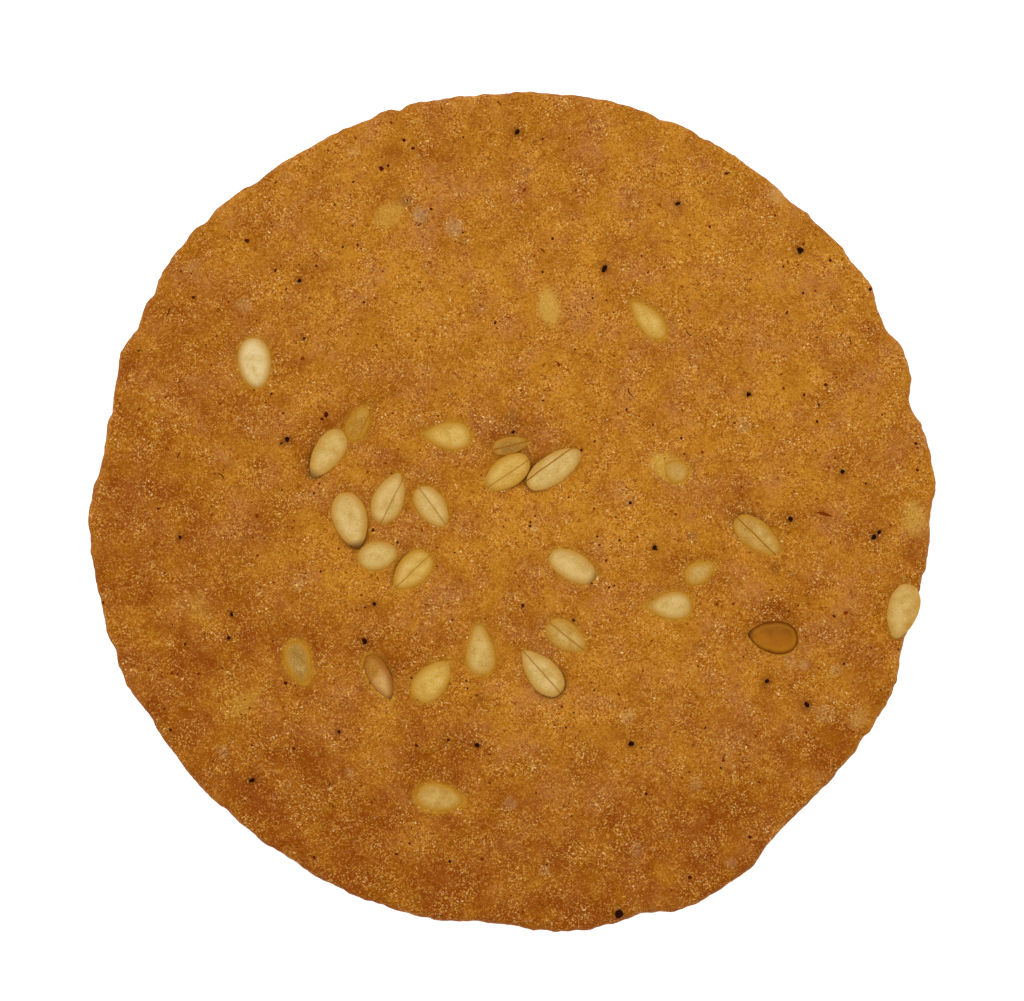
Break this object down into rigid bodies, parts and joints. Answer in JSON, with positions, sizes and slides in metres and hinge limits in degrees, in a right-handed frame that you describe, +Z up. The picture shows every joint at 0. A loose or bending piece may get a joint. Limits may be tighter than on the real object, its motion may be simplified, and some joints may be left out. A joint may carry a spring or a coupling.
{
  "type": "sesame cookie",
  "caption": "Thin round sesame cookie, golden brown, with an uneven rim, a gently domed top with soft hollows where the seeds lie, and a flat underside to rest on.",
  "frame": {"origin": "under the middle of the cookie's bounding box, on its flat underside", "axes": "+Z up through the thin way, out of the seeded top; +X and +Y lie in the underside; a round cookie has no marked side, so their bearing is only kept the same for the seeds"},
  "size_m": [0.0508, 0.0504, 0.0035],
  "materials": {
    "dough": "baked wheat dough, golden brown, dry and slightly satin, finely grained",
    "sesame": "hulled sesame seed, cream to pale yellow, satin"
  },
  "bodies": {
    "root": {"baked_dough": "dough"}
  },
  "joints": []
}
